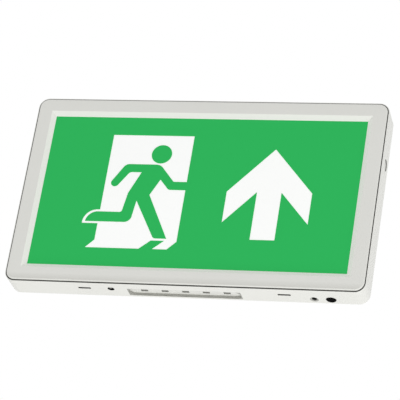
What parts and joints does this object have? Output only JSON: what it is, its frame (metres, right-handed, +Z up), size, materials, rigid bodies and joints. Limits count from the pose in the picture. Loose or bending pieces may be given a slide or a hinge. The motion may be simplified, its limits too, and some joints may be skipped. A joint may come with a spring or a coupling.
{
  "type": "emergency exit light",
  "caption": "Slim wall-mounted emergency exit light: framed green running-figure and arrow legend, pull-off front cover, test button and charge lamp below.",
  "frame": {"origin": "centre of the rear face that lies on the wall", "axes": "+X to the right seen from the front, +Y into the wall, +Z up; the legend faces -Y"},
  "size_m": [0.338, 0.027, 0.1944],
  "materials": {
    "cover_white": "fine satin moulded plastic",
    "housing_white": "fine satin moulded plastic",
    "spring_steel": "rolled spring steel",
    "legend_green": "printed matt film",
    "opal": "opal diffusing sheet",
    "clear_acrylic": "clear acrylic, polished edges",
    "reflector": "white reflecting film",
    "led_board": "white solder mask",
    "led": "LED package with phosphor",
    "tray_paint": "white powder coat on sheet steel",
    "screw_zinc": "bright zinc plate",
    "board_green": "green solder mask",
    "black_plastic": "black moulded plastic",
    "black_rubber": "soft black rubber",
    "sensor_white": "pale lens",
    "terminal": "pale grey moulded plastic",
    "battery_wrap": "shrink wrap",
    "transformer": "tape and ferrite",
    "capacitor": "sleeved can",
    "choke": "ferrite drum",
    "fuse": "ceramic tube",
    "socket": "natural nylon",
    "chip": "moulded epoxy",
    "charge_lens": "smoked lens, unlit"
  },
  "bodies": {
    "housing": {"rear_housing": "housing_white", "light_guide": "clear_acrylic", "reflector_sheet": "reflector", "led_strip_top": "led_board", "strip_leds_top": "led", "led_strip_bottom": "led_board", "strip_leds_bottom": "led", "gear_tray": "tray_paint", "tray_screws": "screw_zinc", "guide_clips": "spring_steel", "downlight_board": "led_board", "downlight_leds": "led", "sensor_collar": "black_rubber", "sensor_window": "sensor_white", "switch_board": "board_green", "switch_board_screws": "screw_zinc", "tact_switch": "black_plastic", "charge_led": "charge_lens", "cable_grommet": "black_rubber", "terminal_block": "terminal", "terminal_screws": "screw_zinc", "driver_board": "board_green", "driver_board_screws": "screw_zinc", "transformer": "transformer", "capacitors": "capacitor", "choke": "choke", "fuse": "fuse", "board_sockets": "socket", "board_chips": "chip", "battery_pack": "battery_wrap"},
    "cover": {"front_cover": "cover_white", "cover_clips": "spring_steel", "legend_film": "legend_green", "opal_panel": "opal"},
    "button": {"test_button": "black_plastic", "switch_plunger": "black_plastic"}
  },
  "joints": [
    {"name": "cover_pull", "type": "slide", "parent": "housing", "child": "cover", "axis": [0, -1, 0], "range_m": [0, 0.06], "deforming": ["cover_clips"]},
    {"name": "test_button_press", "type": "slide", "parent": "housing", "child": "button", "axis": [0, 0, 1], "range_m": [0, 0.0012], "stiffness_N_per_m": 800, "springref_m": -0.002}
  ]
}
